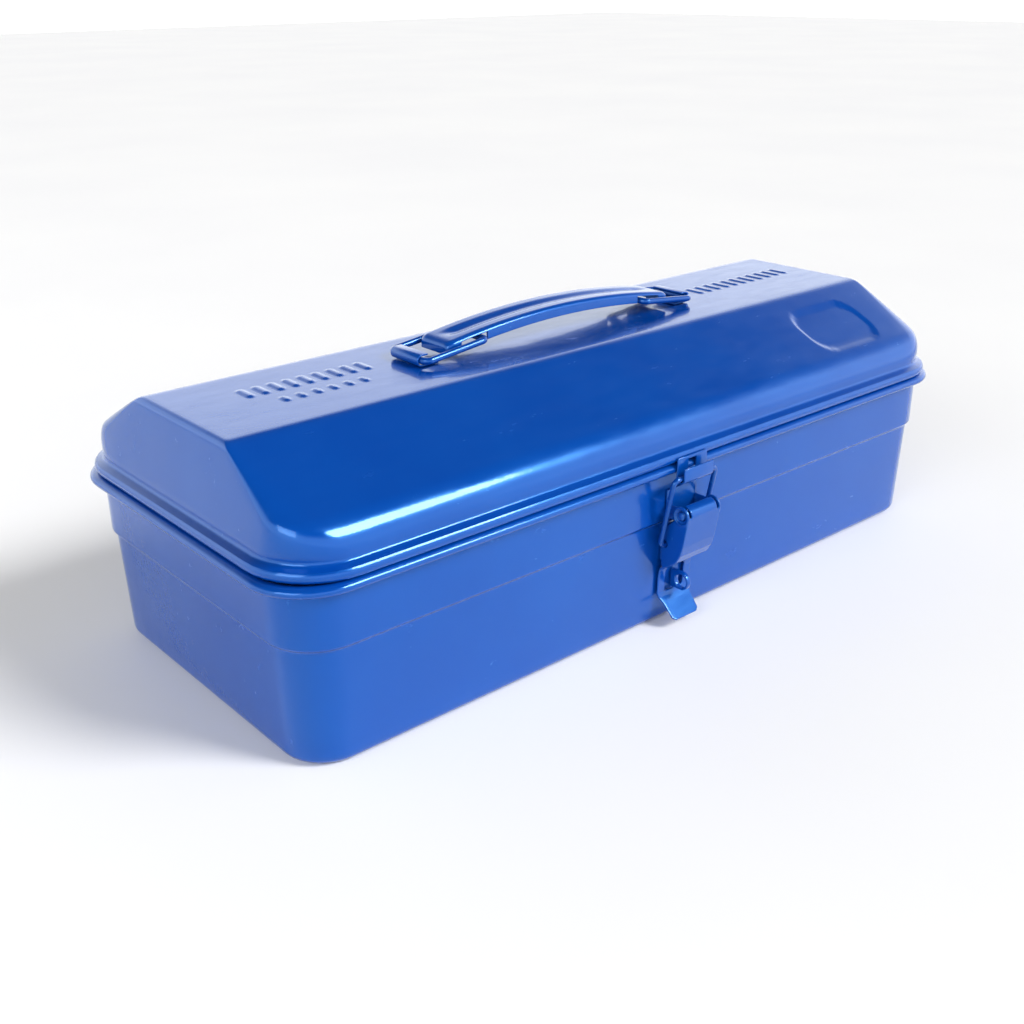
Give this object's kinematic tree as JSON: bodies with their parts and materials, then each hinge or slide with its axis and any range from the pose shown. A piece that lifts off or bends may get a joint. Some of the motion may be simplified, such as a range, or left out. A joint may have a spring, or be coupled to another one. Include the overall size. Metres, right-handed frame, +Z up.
{
  "type": "metal tool box",
  "caption": "Pressed-steel tool box with a sloped camber lid, drop handle on wire rings, front draw latch with padlock staple, rear hinges and a lift-out tray.",
  "frame": {"origin": "middle of the body's flat underside, on the surface that the box stands on", "axes": "+X along the length, to the right of someone facing the latch; -Y out of the front with the latch; +Z up"},
  "size_m": [0.3766, 0.1815, 0.1243],
  "materials": {
    "enamel": "gloss",
    "wire": "gloss",
    "pin": "gloss"
  },
  "bodies": {
    "body": {"body_shell": "enamel", "latch_base_plate": "enamel", "latch_pivot_pin": "pin", "padlock_staple": "enamel", "hinge_leaf_body_left": "enamel", "hinge_leaf_body_right": "enamel", "hinge_pin_left": "pin", "hinge_pin_right": "pin"},
    "lid": {"lid_shell": "enamel", "keeper_hook": "enamel", "hinge_leaf_lid_left": "enamel", "hinge_leaf_lid_right": "enamel", "handle_bracket_left": "enamel", "handle_bracket_right": "enamel"},
    "tray": {"tray_pan": "enamel", "tray_divider": "enamel"},
    "lever": {"latch_lever": "enamel"},
    "bail": {"wire_bail_left": "wire", "wire_bail_right": "wire"},
    "grip": {"handle_grip": "enamel"},
    "ring_left": {"handle_ring_left": "wire"},
    "ring_right": {"handle_ring_right": "wire"}
  },
  "joints": [
    {"name": "lid_hinge", "type": "hinge", "parent": "body", "child": "lid", "pos_m": [0, 0.0867, 0.0739], "axis": [-1, 0, 0], "range_deg": [0, 105]},
    {"name": "tray_lift", "type": "slide", "parent": "body", "child": "tray", "axis": [0, 0, 1], "range_m": [0, 0.0045]},
    {"name": "latch_lever", "type": "hinge", "parent": "body", "child": "lever", "pos_m": [0, -0.0883, 0.0534], "axis": [-1, 0, 0], "range_deg": [0, 120]},
    {"name": "latch_link", "type": "hinge", "parent": "lever", "child": "bail", "pos_m": [0, -0.0802, 0.0385], "axis": [-1, 0, 0], "range_deg": [-120, 0]},
    {"name": "handle_lift", "type": "slide", "parent": "lid", "child": "grip", "axis": [0, 0, 1], "range_m": [0, 0.0199]},
    {"name": "ring_left_turn", "type": "hinge", "parent": "lid", "child": "ring_left", "pos_m": [-0.077, 0, 0.11425], "axis": [0, -1, 0], "range_deg": [0, 38.5]},
    {"name": "ring_right_turn", "type": "hinge", "parent": "lid", "child": "ring_right", "pos_m": [0.077, 0, 0.11425], "axis": [0, 1, 0], "range_deg": [0, 38.5]}
  ],
  "couplings": [
    {"joint": "latch_link", "follows": "latch_lever", "ratio": -1},
    {"joint": "ring_left_turn", "follows": "handle_lift", "rad_per_m": 33.7},
    {"joint": "ring_right_turn", "follows": "handle_lift", "rad_per_m": 33.7}
  ]
}
